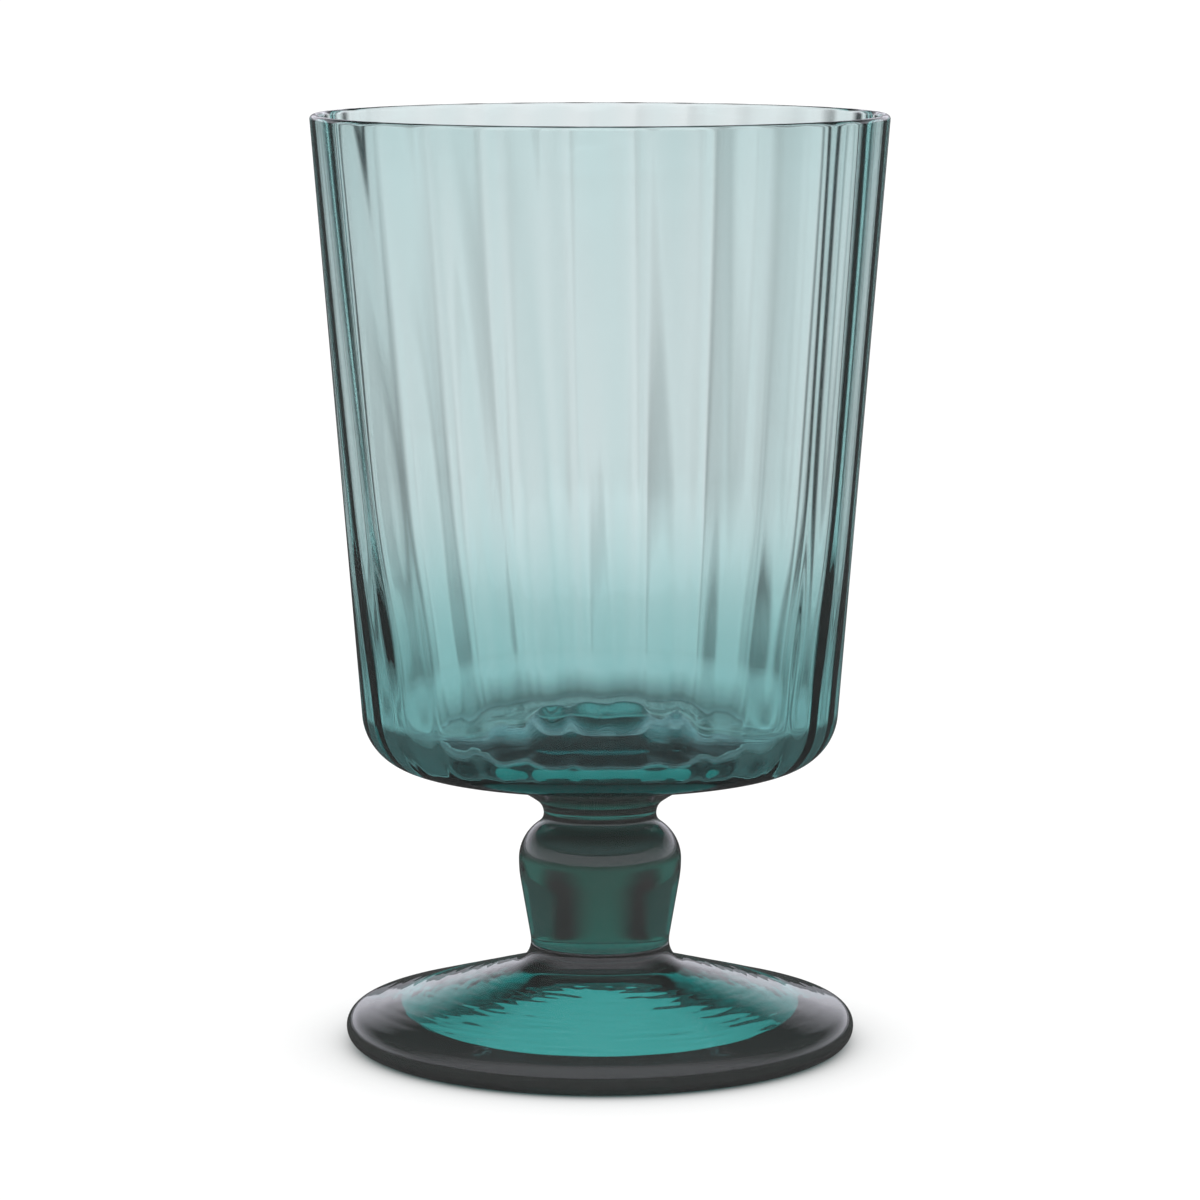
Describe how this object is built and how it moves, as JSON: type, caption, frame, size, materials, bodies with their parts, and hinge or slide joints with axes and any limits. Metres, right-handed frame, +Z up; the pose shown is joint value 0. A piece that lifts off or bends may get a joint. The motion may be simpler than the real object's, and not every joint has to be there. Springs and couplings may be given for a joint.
{
  "type": "goblet",
  "caption": "Mouth-blown water goblet of sea-green glass: tapered bucket bowl with optic ribs inside, short waisted baluster stem and sloping disc foot.",
  "frame": {"origin": "centre of the circle that the foot stands on, at the level of the table", "axes": "+Z up along the goblet's axis to the rim; it is round, so +X and +Y are any two level directions"},
  "size_m": [0.0879, 0.088, 0.1433],
  "materials": {
    "sea_green_glass": "clear fire-polished glass, tinted through the mass"
  },
  "bodies": {
    "root": {"foot": "sea_green_glass", "stem": "sea_green_glass", "bowl": "sea_green_glass"}
  },
  "joints": []
}
